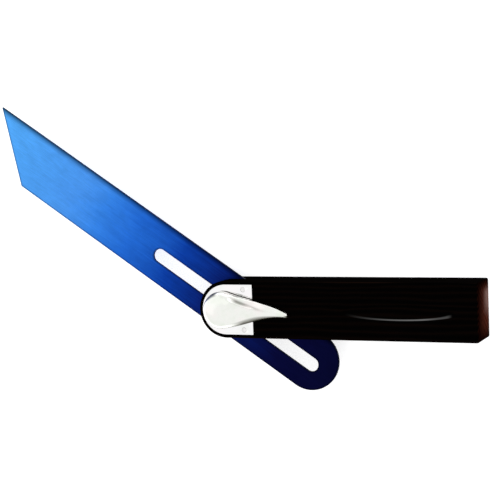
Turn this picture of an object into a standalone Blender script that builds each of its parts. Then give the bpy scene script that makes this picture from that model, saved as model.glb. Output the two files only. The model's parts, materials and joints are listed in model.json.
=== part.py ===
"""Sliding bevel: a slotted blade that turns and slides on a lever-locked pivot in a wooden stock.

The tool lies flat on its rear face. X runs along the stock towards the butt, Y across it and Z up, out of
the front face. The origin is the middle of the bare wood on the rear face. Lengths are in metres and angles
in degrees.
"""

import math

import bmesh
import bpy
from mathutils import Vector

# Stock: a wooden bar with a round nose and a square butt
STOCK_WIDTH = 0.0237
STOCK_THICKNESS = 0.018
GRIP_LENGTH = 0.0942  # bare wood, from the plates' straight edge to the butt
NOSE_RIM = 0.0015  # wood left round the plates
ARRIS = 0.0006  # rounding along the stock's edges
BUTT_WOOD = 0.0148  # solid wood between the kerf and the butt
KERF_END_ROOM = 0.0008  # left beyond the heel of a blade that is folded in

# Finger groove: a long shallow scoop in the front of the grip
GROOVE_LENGTH = 0.048
GROOVE_WIDTH = 0.0066
GROOVE_DEPTH = 0.0011
GROOVE_FROM_BUTT = 0.032  # to the groove's middle
GROOVE_DEPTH_SHARE = 0.5  # of the scooping ellipsoid's half height, what goes into the wood

# Plates: one let into each face of the nose
PLATE_REACH = 0.0119  # from the nose's centre to the plates' straight edge
PLATE_THICKNESS = 0.0016

# Pins that hold the plates
PIN_RADIUS = 0.001
PIN_LENGTH = 0.006
PIN_POINT = 0.0008
PIN_FROM_ROUND_EDGE = 0.002  # pin's centre to the plate's long and round edges
PIN_FROM_STRAIGHT_EDGE = 0.004
PIN_POINT_SHARE = 0.4  # of the pin's radius, left at its end

# Pivot screw: slotted countersunk head, square neck and round shank
PIVOT_SETBACK = 0.0012  # the pivot's distance from the nose's centre, towards the nose
HEAD_RADIUS = 0.0044
HEAD_SINK = 0.0003
HEAD_SLOT_WIDTH = 0.0011
HEAD_SLOT_DEPTH = 0.0008
NECK_SIDE = 0.0052
NECK_LENGTH = 0.0036
SHANK_RADIUS = 0.0026
SHANK_PROUD = 0.0004  # the screw's end above the nut
SHANK_CHAMFER = 0.0004

# Blade
BLADE_LENGTH = 0.19
BLADE_WIDTH = 0.0248
BLADE_THICKNESS = 0.001
BLADE_TIP_SKEW = 0.026  # how much shorter the blade's short edge is
SLOT_OFFSET = 0.0011  # the slot lies this far off the blade's centre line, towards the short edge
SLOT_PAST_HEEL_CENTRE = 0.0013  # the slot's round end lies this far beyond the centre of the heel's arc
PIVOT_TO_SLOT_TIP = 0.0385  # how far the blade is drawn out, to the centre of the slot's end nearer the tip
BLADE_ANGLE = 146.15  # how far the blade is turned, from the stock's butt to the blade's tip

# Washers
KERF_WASHER_RADIUS = 0.0065
KERF_WASHER_THICKNESS = 0.0004
LEVER_WASHER_RADIUS = 0.0062
LEVER_WASHER_THICKNESS = 0.0005

# Lever: a domed head that runs out into a tapering arm
LEVER_HEAD_RADIUS = 0.0077
LEVER_HEAD_HEIGHT = 0.006
LEVER_REACH = 0.0294  # pivot to tip
LEVER_TIP_WIDTH = 0.0021
LEVER_TIP_HEIGHT = 0.0024
LEVER_ANGLE = -3.6
LEVER_UPPER_TURN = 74  # where the upper flank leaves the head, round from the arm's axis
LEVER_LOWER_TURN = 80
LEVER_UPPER_FLARE = 22  # between the end of the upper flank and the arm's axis
LEVER_LOWER_FLARE = -3
LEVER_CORNER_SHARE = 0.25  # of the tip's width, the length over which its end rounds off
LEVER_SPINE_SHARE = 0.93  # of the reach, where the ridge of the arm ends
# Section of the lever from its lower edge to its crown, as shares of half width and of height
HEAD_WIDTH_SHARES = (1.0, 1.0, 0.95, 0.83, 0.65, 0.43, 0.21, 0.0)
HEAD_HEIGHT_SHARES = (0.0, 0.2, 0.42, 0.64, 0.82, 0.93, 0.985, 1.0)
ARM_WIDTH_SHARES = (1.0, 1.0, 0.9, 0.74, 0.56, 0.38, 0.19, 0.0)
ARM_HEIGHT_SHARES = (0.0, 0.3, 0.44, 0.68, 0.9, 0.965, 0.99, 1.0)

# Lever nut: a hexagon let into the underside of the lever
NUT_ACROSS_FLATS = 0.008
NUT_HEIGHT = 0.0032
NUT_END_ROOM = 0.0004  # over the screw's end, inside the lever

# Clearances
SHANK_GAP = 0.0003  # round the screw's shank
RUNNING_GAP = 0.0002  # beside each face that turns or slides
SEAT_GAP = 0.0002  # round each piece that is let into another
WELD_DISTANCE = 0.000002  # points nearer than this are one point
CUT_OVERRUN = 0.001  # how far each cutter runs past the face that it opens

# Facets
ARC_STEP = 6  # degrees between the points of an arc
SMALL_STEPS = 24  # sides of a small turned piece
ARRIS_SEGMENTS = 2
SHARP_ANGLE = 35
GROOVE_SEGMENTS = 28
GROOVE_RINGS = 14
FLANK_POINTS = 18
TIP_POINTS = 4

# Worked out from the sizes above
NOSE_RADIUS = STOCK_WIDTH / 2
PLATE_RADIUS = NOSE_RADIUS - NOSE_RIM
NOSE_CENTRE_X = -GRIP_LENGTH / 2 - PLATE_REACH
PLATE_EDGE_X = -GRIP_LENGTH / 2
BUTT_X = GRIP_LENGTH / 2
PIVOT_X = NOSE_CENTRE_X - PIVOT_SETBACK
KERF_MIDDLE_Z = STOCK_THICKNESS / 2
KERF_HEIGHT = BLADE_THICKNESS + 2 * (KERF_WASHER_THICKNESS + 2 * RUNNING_GAP)
SLOT_HALF_WIDTH = SHANK_RADIUS + SHANK_GAP
KERF_END_X = BUTT_X - BUTT_WOOD
HEEL_REACH = KERF_END_X - KERF_END_ROOM - PIVOT_X  # from the pivot, with the blade folded in
HEEL_CENTRE_X = PIVOT_TO_SLOT_TIP - HEEL_REACH + BLADE_WIDTH / 2
SLOT_HEEL_X = HEEL_CENTRE_X - SLOT_PAST_HEEL_CENTRE
BLADE_TIP_X = HEEL_CENTRE_X - BLADE_WIDTH / 2 + BLADE_LENGTH
HEAD_HEIGHT = HEAD_RADIUS - SHANK_RADIUS
HEAD_UNDERSIDE_Z = HEAD_SINK + HEAD_HEIGHT
NECK_END_Z = HEAD_UNDERSIDE_Z + NECK_LENGTH
LEVER_WASHER_Z = STOCK_THICKNESS + RUNNING_GAP
LEVER_Z = LEVER_WASHER_Z + LEVER_WASHER_THICKNESS + RUNNING_GAP
SHANK_END_Z = LEVER_Z + NUT_HEIGHT + SHANK_PROUD
NUT_POCKET_TOP_Z = SHANK_END_Z + NUT_END_ROOM

NAME = "sliding_bevel"


def clear_scene():
    for obj in list(bpy.data.objects):
        bpy.data.objects.remove(obj, do_unlink=True)


def new_collection(name):
    collection = bpy.data.collections.new(name)
    bpy.context.scene.collection.children.link(collection)
    return collection


def make_material(name, colour, roughness, metallic):
    material = bpy.data.materials.new(name)
    material.use_nodes = True
    shader = material.node_tree.nodes["Principled BSDF"]
    shader.inputs["Base Color"].default_value = (*colour, 1.0)
    shader.inputs["Roughness"].default_value = roughness
    shader.inputs["Metallic"].default_value = metallic
    return material


def add_object(name, mesh, collection, location=(0, 0, 0), angle=0):
    obj = bpy.data.objects.new(name, mesh)
    obj.location = location
    obj.rotation_euler.z = math.radians(angle)
    collection.objects.link(obj)
    return obj


def finish(obj, material):
    """Gives a visible piece its material, and shades its round sides smooth."""
    obj.data.materials.append(material)
    obj.data.shade_smooth()
    obj.data.set_sharp_from_angle(angle=math.radians(SHARP_ANGLE))
    return obj


def as_cutter(obj):
    obj.hide_render = True
    obj.display_type = "WIRE"
    return obj


def boolean(obj, other, operation="DIFFERENCE"):
    modifier = obj.modifiers.new(f"{operation.lower()} {other.name}", "BOOLEAN")
    modifier.operation = operation
    modifier.solver = "EXACT"
    modifier.object = other


def arc(centre, radius, start, end, steps=None):
    """Points round a centre from one angle to another, both ends included."""
    steps = steps or max(2, round(abs(end - start) / ARC_STEP))
    turns = [math.radians(start + (end - start) * i / steps) for i in range(steps + 1)]
    return [(centre[0] + radius * math.cos(a), centre[1] + radius * math.sin(a)) for a in turns]


def flat_mesh(name, loops, thickness):
    """A flat outline with holes, thickened evenly about its own plane, as one closed mesh."""
    curve = bpy.data.curves.new(name, "CURVE")
    curve.dimensions = "2D"
    curve.fill_mode = "BOTH"
    curve.extrude = thickness / 2
    for loop in loops:
        spline = curve.splines.new("POLY")
        spline.points.add(len(loop) - 1)
        for point, (x, y) in zip(spline.points, loop):
            point.co = (x, y, 0, 1)
        spline.use_cyclic_u = True
    drawn = bpy.data.objects.new(name + " outline", curve)
    bpy.context.scene.collection.objects.link(drawn)
    graph = bpy.context.evaluated_depsgraph_get()
    mesh = bpy.data.meshes.new_from_object(drawn.evaluated_get(graph))
    mesh.name = name
    bpy.data.objects.remove(drawn)
    weld(mesh)
    return mesh


def weld(mesh):
    """Joins loose caps to their sides, and turns all faces outwards."""
    shape = bmesh.new()
    shape.from_mesh(mesh)
    bmesh.ops.remove_doubles(shape, verts=shape.verts, dist=WELD_DISTANCE)
    bmesh.ops.recalc_face_normals(shape, faces=shape.faces)
    shape.to_mesh(mesh)
    shape.free()


def turned(name, profile, collection, location, closed=False):
    """A piece turned about Z from a profile of (radius, height) points, listed from its top to its bottom."""
    mesh = bpy.data.meshes.new(name)
    edges = [(i, i + 1) for i in range(len(profile) - 1)]
    if closed:
        edges.append((len(profile) - 1, 0))
    mesh.from_pydata([(radius, 0, height) for radius, height in profile], edges, [])
    obj = add_object(name, mesh, collection, location)
    screw = obj.modifiers.new("turn", "SCREW")
    screw.steps = SMALL_STEPS
    screw.render_steps = SMALL_STEPS
    screw.use_merge_vertices = True
    screw.merge_threshold = WELD_DISTANCE
    return obj


def cylinder_cutter(name, radius, low, high, collection, location):
    profile = [(0, high), (radius, high), (radius, low), (0, low)]
    return as_cutter(turned(name, profile, collection, location))


def ring(name, inner, outer, thickness, collection, location):
    """A flat washer that rises from its location."""
    profile = [(inner, thickness), (outer, thickness), (outer, 0), (inner, 0)]
    return turned(name, profile, collection, location, closed=True)


def box(name, low, high, collection):
    """An axis-parallel box between two corners."""
    mesh = bpy.data.meshes.new(name)
    shape = bmesh.new()
    bmesh.ops.create_cube(shape, size=1)
    middle = (Vector(low) + Vector(high)) / 2
    sides = Vector(high) - Vector(low)
    for vert in shape.verts:
        vert.co = middle + vert.co * sides
    shape.to_mesh(mesh)
    shape.free()
    return add_object(name, mesh, collection)


def nose_outline(radius, end_x):
    """A half circle about the nose's centre, closed by a straight edge across the stock."""
    nose = arc((NOSE_CENTRE_X, 0), radius, 90, 270)
    return [(end_x, radius), *nose, (end_x, -radius)]


def pin_places():
    """Two pins at the plate's corners, and one at the nose."""
    corner_x = PLATE_EDGE_X - PIN_FROM_STRAIGHT_EDGE
    side_y = PLATE_RADIUS - PIN_FROM_ROUND_EDGE
    return [(corner_x, side_y), (corner_x, -side_y), (NOSE_CENTRE_X - side_y, 0)]


def make_stock(collection, cutters, screw_cutters):
    mesh = flat_mesh("stock", [nose_outline(NOSE_RADIUS, BUTT_X)], STOCK_THICKNESS)
    stock = add_object("stock", mesh, collection, (0, 0, KERF_MIDDLE_Z))
    edges = stock.modifiers.new("arrises", "BEVEL")
    edges.width = ARRIS
    edges.segments = ARRIS_SEGMENTS
    edges.limit_method = "ANGLE"
    edges.angle_limit = math.radians(SHARP_ANGLE)
    boolean(stock, make_kerf_cutter(cutters))
    for cutter in make_plate_pockets(cutters):
        boolean(stock, cutter)
    for cutter in screw_cutters:
        boolean(stock, cutter)
    boolean(stock, make_groove_cutter(cutters))
    return stock


def make_kerf_cutter(cutters):
    """The saw cut that takes the blade: open at the nose and along both edges."""
    side = NOSE_RADIUS + CUT_OVERRUN
    low = (NOSE_CENTRE_X - side, -side, KERF_MIDDLE_Z - KERF_HEIGHT / 2)
    high = (KERF_END_X, side, KERF_MIDDLE_Z + KERF_HEIGHT / 2)
    return as_cutter(box("kerf_cutter", low, high, cutters))


def make_plate_pockets(cutters):
    """A recess for the plate in each face, open past the face."""
    depth = PLATE_THICKNESS + SEAT_GAP
    outline = nose_outline(PLATE_RADIUS + SEAT_GAP, PLATE_EDGE_X + SEAT_GAP)
    pockets = []
    for side, face_z, inward in (("rear", 0, 1), ("front", STOCK_THICKNESS, -1)):
        mesh = flat_mesh(f"{side}_pocket_cutter", [outline], depth + CUT_OVERRUN)
        middle_z = face_z + inward * (depth - CUT_OVERRUN) / 2
        pockets.append(as_cutter(add_object(mesh.name, mesh, cutters, (0, 0, middle_z))))
    return pockets


def make_groove_cutter(cutters):
    """An ellipsoid that dips into the front face, so that the scoop is as long and wide as its sizes say."""
    half_height = GROOVE_DEPTH / GROOVE_DEPTH_SHARE
    lift = half_height - GROOVE_DEPTH
    spread = math.sqrt(1 - (lift / half_height) ** 2)
    half_sides = Vector((GROOVE_LENGTH / 2 / spread, GROOVE_WIDTH / 2 / spread, half_height))
    mesh = bpy.data.meshes.new("groove_cutter")
    shape = bmesh.new()
    bmesh.ops.create_uvsphere(shape, u_segments=GROOVE_SEGMENTS, v_segments=GROOVE_RINGS, radius=1)
    for vert in shape.verts:
        vert.co = vert.co * half_sides
    shape.to_mesh(mesh)
    shape.free()
    place = (BUTT_X - GROOVE_FROM_BUTT, 0, STOCK_THICKNESS + lift)
    return as_cutter(add_object("groove_cutter", mesh, cutters, place))


def make_pin_holes(side, cutters):
    """Holes for one plate's pins, through the plate and blind in the wood."""
    face_z = 0 if side == "rear" else STOCK_THICKNESS
    inward = 1 if side == "rear" else -1
    ends = sorted((face_z - inward * CUT_OVERRUN, face_z + inward * (PIN_LENGTH + SEAT_GAP)))
    return [
        cylinder_cutter(f"{side}_pin_hole_{i}", PIN_RADIUS + SEAT_GAP, *ends, cutters, (x, y, 0))
        for i, (x, y) in enumerate(pin_places(), start=1)
    ]


def make_plate(side, middle_z, collection, holes):
    mesh = flat_mesh(f"{side}_plate", [nose_outline(PLATE_RADIUS, PLATE_EDGE_X)], PLATE_THICKNESS)
    plate = add_object(f"{side}_plate", mesh, collection, (0, 0, middle_z))
    for hole in holes:
        boolean(plate, hole)
    return plate


def make_pins(side, collection):
    """Pins driven in from one face, flush with it."""
    pins = []
    for i, (x, y) in enumerate(pin_places(), start=1):
        point = PIN_RADIUS * PIN_POINT_SHARE
        profile = [
            (0, PIN_LENGTH),
            (point, PIN_LENGTH),
            (PIN_RADIUS, PIN_LENGTH - PIN_POINT),
            (PIN_RADIUS, 0),
            (0, 0),
        ]
        pin = turned(f"{side}_plate_pin_{i}", profile, collection, (x, y, 0))
        if side == "front":
            pin.location.z = STOCK_THICKNESS
            pin.rotation_euler.x = math.pi
        pins.append(pin)
    return pins


def neck_box(name, gap, collection):
    """The square neck, or the mortise for it, that stops the screw turning."""
    half = NECK_SIDE / 2 + gap
    low = (PIVOT_X - half, -half, HEAD_SINK + HEAD_HEIGHT / 2)
    high = (PIVOT_X + half, half, NECK_END_Z + gap)
    return as_cutter(box(name, low, high, collection))


def make_screw_cutters(cutters):
    """The hole for the screw through the whole stock: countersink, mortise and round hole."""
    top = STOCK_THICKNESS + CUT_OVERRUN
    head = HEAD_RADIUS + SHANK_GAP
    shank = SHANK_RADIUS + SHANK_GAP
    profile = [
        (0, top),
        (shank, top),
        (shank, HEAD_UNDERSIDE_Z),
        (head, HEAD_SINK),
        (head, -CUT_OVERRUN),
        (0, -CUT_OVERRUN),
    ]
    hole = as_cutter(turned("screw_hole", profile, cutters, (PIVOT_X, 0, 0)))
    return [hole, neck_box("neck_mortise", SEAT_GAP, cutters)]


def make_screw(collection, cutters):
    profile = [
        (0, SHANK_END_Z),
        (SHANK_RADIUS - SHANK_CHAMFER, SHANK_END_Z),
        (SHANK_RADIUS, SHANK_END_Z - SHANK_CHAMFER),
        (SHANK_RADIUS, HEAD_UNDERSIDE_Z),
        (HEAD_RADIUS, HEAD_SINK),
        (0, HEAD_SINK),
    ]
    screw = turned("pivot_screw", profile, collection, (PIVOT_X, 0, 0))
    boolean(screw, neck_box("screw_neck", 0, cutters), "UNION")
    half = HEAD_SLOT_WIDTH / 2
    side = HEAD_RADIUS + CUT_OVERRUN
    low = (PIVOT_X - half, -side, -CUT_OVERRUN)
    high = (PIVOT_X + half, side, HEAD_SINK + HEAD_SLOT_DEPTH)
    boolean(screw, as_cutter(box("head_slot", low, high, cutters)))
    return screw


def blade_outline():
    """Round heel, two long edges and a slanting tip, in the blade's own frame: pivot at zero, tip at +X."""
    half = BLADE_WIDTH / 2
    heel = arc((HEEL_CENTRE_X, -SLOT_OFFSET), half, 90, 270)
    return [*heel, (BLADE_TIP_X, -half - SLOT_OFFSET), (BLADE_TIP_X - BLADE_TIP_SKEW, half - SLOT_OFFSET)]


def slot_outline():
    heel_end = arc((SLOT_HEEL_X, 0), SLOT_HALF_WIDTH, 90, 270, SMALL_STEPS // 2)
    tip_end = arc((PIVOT_TO_SLOT_TIP, 0), SLOT_HALF_WIDTH, -90, 90, SMALL_STEPS // 2)
    return heel_end + tip_end


def make_blade(collection, pivot):
    mesh = flat_mesh("blade", [blade_outline(), slot_outline()], BLADE_THICKNESS)
    blade = add_object("blade", mesh, collection)
    blade.parent = pivot
    return blade


def make_kerf_washers(collection, pivot):
    """Thin rings that take up the play between the blade and the walls of the kerf."""
    gap = BLADE_THICKNESS / 2 + RUNNING_GAP
    washers = []
    for side, low in (("front", gap), ("rear", -gap - KERF_WASHER_THICKNESS)):
        name = f"kerf_washer_{side}"
        place = (0, 0, low)
        washer = ring(name, SLOT_HALF_WIDTH, KERF_WASHER_RADIUS, KERF_WASHER_THICKNESS, collection, place)
        washer.parent = pivot
        washers.append(washer)
    return washers


def make_lever_washer(collection):
    place = (PIVOT_X, 0, LEVER_WASHER_Z)
    thickness = LEVER_WASHER_THICKNESS
    return ring("lever_washer", SLOT_HALF_WIDTH, LEVER_WASHER_RADIUS, thickness, collection, place)


def half_width(x, turn, flare):
    """Width of one side of the lever at a distance along it: the head's circle, then one smooth flank."""
    start = LEVER_HEAD_RADIUS * math.cos(math.radians(turn))
    if x <= start:
        return math.sqrt(LEVER_HEAD_RADIUS**2 - x**2)
    corner = LEVER_TIP_WIDTH * LEVER_CORNER_SHARE
    run = LEVER_REACH - corner - start
    share = min(1, (x - start) / run)
    first = LEVER_HEAD_RADIUS * math.sin(math.radians(turn))
    first_slope = -run / math.tan(math.radians(turn))
    last_slope = -run * math.tan(math.radians(flare))
    width = (
        first * (2 * share**3 - 3 * share**2 + 1)
        + first_slope * (share**3 - 2 * share**2 + share)
        + LEVER_TIP_WIDTH / 2 * (3 * share**2 - 2 * share**3)
        + last_slope * (share**3 - share**2)
    )
    past = max(0, (x - start - run) / corner)
    return width * math.sqrt(max(0, 1 - past**2))


def lever_outline():
    """The lever's lower edge from above, counter-clockwise from the middle of its tip."""
    corner = LEVER_TIP_WIDTH * LEVER_CORNER_SHARE
    straight = LEVER_REACH - corner
    stations = [straight * i / FLANK_POINTS for i in range(FLANK_POINTS + 1)]
    stations += [straight + corner * math.sin(math.pi / 2 * i / TIP_POINTS) for i in range(1, TIP_POINTS)]
    upper = [(x, half_width(x, LEVER_UPPER_TURN, LEVER_UPPER_FLARE)) for x in reversed(stations)]
    lower = [(x, -half_width(x, LEVER_LOWER_TURN, LEVER_LOWER_FLARE)) for x in stations]
    back = arc((0, 0), LEVER_HEAD_RADIUS, 90, 270)[1:-1]
    return [Vector(point) for point in [(LEVER_REACH, 0), *upper, *back, *lower]]


def lever_section(point):
    """The ridge's place for a point of the outline, and the rings' widths and heights there."""
    ridge_x = min(max(point.x, 0), LEVER_REACH * LEVER_SPINE_SHARE)
    along = ridge_x / (LEVER_REACH * LEVER_SPINE_SHARE)
    ease = along * along * (3 - 2 * along)
    height = LEVER_HEAD_HEIGHT + (LEVER_TIP_HEIGHT - LEVER_HEAD_HEIGHT) * ease
    blend = min(1, ridge_x / LEVER_HEAD_RADIUS)
    widths = [h + (a - h) * blend for h, a in zip(HEAD_WIDTH_SHARES, ARM_WIDTH_SHARES)]
    heights = [height * (h + (a - h) * blend) for h, a in zip(HEAD_HEIGHT_SHARES, ARM_HEIGHT_SHARES)]
    return Vector((ridge_x, 0)), widths, heights


def make_lever(collection, cutters):
    """Rings that shrink from the outline onto the ridge while they rise, joined into one closed skin."""
    outline = lever_outline()
    sections = [lever_section(point) for point in outline]
    shape = bmesh.new()
    rings = []
    for level in range(len(HEAD_WIDTH_SHARES)):
        verts = []
        for point, (ridge, widths, heights) in zip(outline, sections):
            flat = ridge + (point - ridge) * widths[level]
            verts.append(shape.verts.new((flat.x, flat.y, heights[level])))
        rings.append(verts)
    count = len(outline)
    shape.faces.new(rings[0][::-1])
    for low, high in zip(rings, rings[1:]):
        for i in range(count):
            shape.faces.new((low[i], low[(i + 1) % count], high[(i + 1) % count], high[i]))
    bmesh.ops.remove_doubles(shape, verts=shape.verts, dist=WELD_DISTANCE)
    mesh = bpy.data.meshes.new("lever")
    shape.to_mesh(mesh)
    shape.free()
    lever = add_object("lever", mesh, collection, (PIVOT_X, 0, LEVER_Z), LEVER_ANGLE)
    boolean(lever, make_nut_pocket(cutters))
    return lever


def hexagon(across_flats):
    corner = across_flats / 2 / math.cos(math.pi / 6)
    return arc((0, 0), corner, 0, 300, 5)


def make_nut_pocket(cutters):
    """A hexagonal hole from below the lever to just over the screw's end."""
    low = LEVER_Z - CUT_OVERRUN
    mesh = flat_mesh("nut_pocket", [hexagon(NUT_ACROSS_FLATS + 2 * SEAT_GAP)], NUT_POCKET_TOP_Z - low)
    middle = (PIVOT_X, 0, (NUT_POCKET_TOP_Z + low) / 2)
    return as_cutter(add_object("nut_pocket", mesh, cutters, middle, LEVER_ANGLE))


def make_lever_nut(collection):
    bore = arc((0, 0), SHANK_RADIUS + RUNNING_GAP, 0, 360 - 360 / SMALL_STEPS, SMALL_STEPS - 1)
    mesh = flat_mesh("lever_nut", [hexagon(NUT_ACROSS_FLATS), bore], NUT_HEIGHT)
    return add_object("lever_nut", mesh, collection, (PIVOT_X, 0, LEVER_Z + NUT_HEIGHT / 2), LEVER_ANGLE)


def make_pivot(collection):
    """The empty on the blade's axis, in the middle of the kerf, that the blade and its washers turn with."""
    return add_object("blade_pivot", None, collection, (PIVOT_X, 0, KERF_MIDDLE_Z), BLADE_ANGLE)


def main():
    clear_scene()
    parts = new_collection(NAME)
    cutters = new_collection("cutters")
    wood = make_material("stock_wood", (0.02, 0.011, 0.008), 0.35, 0.0)
    nickel = make_material("polished_nickel", (0.86, 0.85, 0.82), 0.12, 1.0)
    blued = make_material("blued_steel", (0.03, 0.09, 0.42), 0.3, 1.0)
    steel = make_material("bright_steel", (0.55, 0.55, 0.56), 0.3, 1.0)
    brass = make_material("washer_brass", (0.7, 0.52, 0.22), 0.35, 1.0)

    screw_cutters = make_screw_cutters(cutters)
    rear_pin_holes = make_pin_holes("rear", cutters)
    front_pin_holes = make_pin_holes("front", cutters)
    pivot = make_pivot(parts)

    finish(make_stock(parts, cutters, screw_cutters + rear_pin_holes + front_pin_holes), wood)
    rear_z = PLATE_THICKNESS / 2
    front_z = STOCK_THICKNESS - rear_z
    finish(make_plate("rear", rear_z, parts, screw_cutters + rear_pin_holes), nickel)
    finish(make_plate("front", front_z, parts, screw_cutters[:1] + front_pin_holes), nickel)
    for pin in make_pins("rear", parts) + make_pins("front", parts):
        finish(pin, nickel)
    finish(make_screw(parts, cutters), steel)
    finish(make_blade(parts, pivot), blued)
    for washer in make_kerf_washers(parts, pivot):
        finish(washer, brass)
    finish(make_lever_washer(parts), steel)
    finish(make_lever(parts, cutters), nickel)
    finish(make_lever_nut(parts), steel)


main()
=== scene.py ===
"""Looks of a sliding bevel: blued blade, nearly black wooden stock, inlaid nickel plates, nickel lever.

Everything is in metres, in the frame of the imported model: X along the stock to its butt, Y across it, and Z
up out of its front face. Angles are in degrees, but for those that a node takes. A noise's scale is in waves
per metre, along a piece and twice across it.
"""

import itertools
import json
import math

import bmesh
import bpy
import numpy as np
from mathutils import Matrix, Vector
from mathutils.geometry import delaunay_2d_cdt


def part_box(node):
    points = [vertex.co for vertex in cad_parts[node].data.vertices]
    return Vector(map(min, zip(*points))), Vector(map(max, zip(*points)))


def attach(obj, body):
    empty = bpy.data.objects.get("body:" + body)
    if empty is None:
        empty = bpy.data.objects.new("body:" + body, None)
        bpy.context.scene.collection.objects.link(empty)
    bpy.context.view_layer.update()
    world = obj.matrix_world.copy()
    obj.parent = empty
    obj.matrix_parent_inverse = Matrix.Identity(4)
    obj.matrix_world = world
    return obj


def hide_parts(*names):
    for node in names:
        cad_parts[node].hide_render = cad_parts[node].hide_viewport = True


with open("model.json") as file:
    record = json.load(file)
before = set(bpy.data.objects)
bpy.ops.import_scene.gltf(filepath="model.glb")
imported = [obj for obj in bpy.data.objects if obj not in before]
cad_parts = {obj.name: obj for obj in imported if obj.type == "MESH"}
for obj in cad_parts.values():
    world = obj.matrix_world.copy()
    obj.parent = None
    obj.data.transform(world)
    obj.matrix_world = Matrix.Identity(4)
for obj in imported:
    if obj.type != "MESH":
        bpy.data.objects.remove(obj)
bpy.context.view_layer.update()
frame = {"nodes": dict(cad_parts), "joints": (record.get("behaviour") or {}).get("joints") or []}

MM = 0.001

# Places that the frame gives
STOCK_LOW, STOCK_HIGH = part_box("stock")
FRONT_LOW, FRONT_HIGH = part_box("front_plate")
REAR_LOW, REAR_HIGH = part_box("rear_plate")
BLADE_LOW, BLADE_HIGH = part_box("blade")
LEVER_LOW, LEVER_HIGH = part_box("lever")
SCREW_LOW, SCREW_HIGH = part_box("pivot_screw")
NUT_LOW, NUT_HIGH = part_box("lever_nut")
PINS = [name for name in frame["nodes"] if "_pin_" in name]
JOINTS = {joint["name"]: joint for joint in frame["joints"]}
PIVOT = Vector(JOINTS["blade_turn"]["pos_m"])
BLADE_WAY = Vector(JOINTS["blade_slide"]["axis"]).normalized()
BLADE_ACROSS = Vector((-BLADE_WAY.y, BLADE_WAY.x, 0))
NOSE_RADIUS = STOCK_HIGH.y
NOSE_X = STOCK_LOW.x + NOSE_RADIUS
PLATE_RADIUS = FRONT_HIGH.y

# Stock
ARRIS = 0.6 * MM  # rounding along its long edges
BUTT_CORNER = 0.75 * MM
WORN_EDGE = 0.1 * MM  # softening of the edges of the kerf and the groove
KERF_HEIGHT = 2.6 * MM
KERF_END = 32.3 * MM
GROOVE_LENGTH = 48 * MM
GROOVE_WIDTH = 6.6 * MM
GROOVE_DEPTH = 1.1 * MM
GROOVE_MIDDLE = 15.1 * MM
GROOVE_DEPTH_SHARE = 0.5  # of the half height of the ellipsoid that cuts it
OVERRUN = 1 * MM  # how far a cutter runs past the face that it opens
INLAY_GAP = 0.03 * MM  # the hair line round a piece that is let in

# Plates and pins
PLATE_CORNER = 0.25 * MM
PIN_EDGE = 0.1 * MM
PIN_POINT = 0.8 * MM  # length of a pin's tapered end
PIN_POINT_SHARE = 0.4  # of its radius, left at that end

# Pivot screw, washers and nut
HEAD_RADIUS = (SCREW_HIGH.x - SCREW_LOW.x) / 2
SHANK_RADIUS = 2.6 * MM
SHANK_CHAMFER = 0.4 * MM
SHANK_GAP = 0.3 * MM
NECK_SIDE = 5.2 * MM
NECK_LENGTH = 3.6 * MM
HEAD_SLOT_WIDTH = 1.1 * MM
HEAD_SLOT_DEPTH = 0.8 * MM
HEAD_EDGE = 0.15 * MM
WASHER_EDGE = 0.08 * MM
NUT_EDGE = 0.2 * MM
NUT_ACROSS_FLATS = 8 * MM
NUT_CORNER = NUT_ACROSS_FLATS / 2 / math.cos(math.pi / 6)  # from its middle
BORE_GAP = 0.2 * MM
HEAD_UNDERSIDE = SCREW_LOW.z + HEAD_RADIUS - SHANK_RADIUS
NECK_TOP = HEAD_UNDERSIDE + NECK_LENGTH

# Blade
BLADE_EDGE = 0.12 * MM
BLADE_CORNER = 0.2 * MM
HEEL_SHY = 0.02 * MM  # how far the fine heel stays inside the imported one
SLOT_HALF_WIDTH = 2.9 * MM
SLOT_TIP = 38.5 * MM  # pivot to the centre of the slot's end nearer the tip
SLOT_HEEL = -42.1 * MM
TIP_SKEW = 26 * MM

# Lever
LEVER_ANGLE = -3.6
LEVER_HEAD = 7.7 * MM
LEVER_REACH = 29.4 * MM
LEVER_TIP_WIDTH = 2.1 * MM
LEVER_TIP_HEIGHT = 2.4 * MM
LEVER_TURN = (74, 80)  # where the upper and the lower flank leave the head
LEVER_FLARE = (22, -3)  # between each flank's end and the arm's axis
LEVER_CORNER_SHARE = 0.25  # rounding of the tip's corners, as a share of the tip's width
LEVER_SPINE_SHARE = 0.93  # where the ridge ends, as a share of the reach
LEVER_WALL = 0.2  # share of the height that is upright wall
UPPER_WALL = 0.48  # and along the arm's upper side
UPPER_WALL_BEGINS = (1 * MM, 7 * MM)
UPPER_WALL_ENDS = (18 * MM, 27 * MM)
DOME_WIDTH_POWER = 2.6  # a and b of the dome's formula
DOME_HEIGHT_POWER = 2.0
COVE_NEAR = (2.5 * MM, 6 * MM)  # from where to where the cove begins along the arm
COVE_FAR = (12 * MM, 21 * MM)  # and where it runs out
COVE_SHARE = 0.77  # where its steep rise stands, as a share of the arm's half width
COVE_TAPER = 0.032 / MM  # and by how much of that share it comes inwards along the arm
LIP_HEIGHT = 0.2  # share of the height above the wall
LIP_WIDTH = 0.1  # share of the half width, as the next values
COVE_RISE = (-0.1, 0.2)  # where the steep rise begins outside its foot and ends inside it
COVE_BAND = 0.11  # half width of the painted shade line at the foot
COVE_STEEP_HEIGHT = 0.6  # share of the height above the wall that the steep rise takes
# Painted shade on the lever, mixed into its colour as dark olive: at the foot of the cove, on the lower
# flank, on the upper wall and on the underside; and a painted dark reflection on an arc of the head's back
COVE_PAINTED_SHADE = 0.75
COVE_SHADE_BEGINS = (4 * MM, 8 * MM)
COVE_SHADE_FADES = (9 * MM, 14 * MM)
COVE_SHADE_LOST = 0.55  # how much of the cove's painted shade has faded away after that
COVE_SHADE_ENDS = (15 * MM, 22 * MM)
FLANK_PAINTED_SHADE = (3.5 * MM, 11 * MM)  # from where to where painted shade darkens the lower flank along the arm
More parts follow.
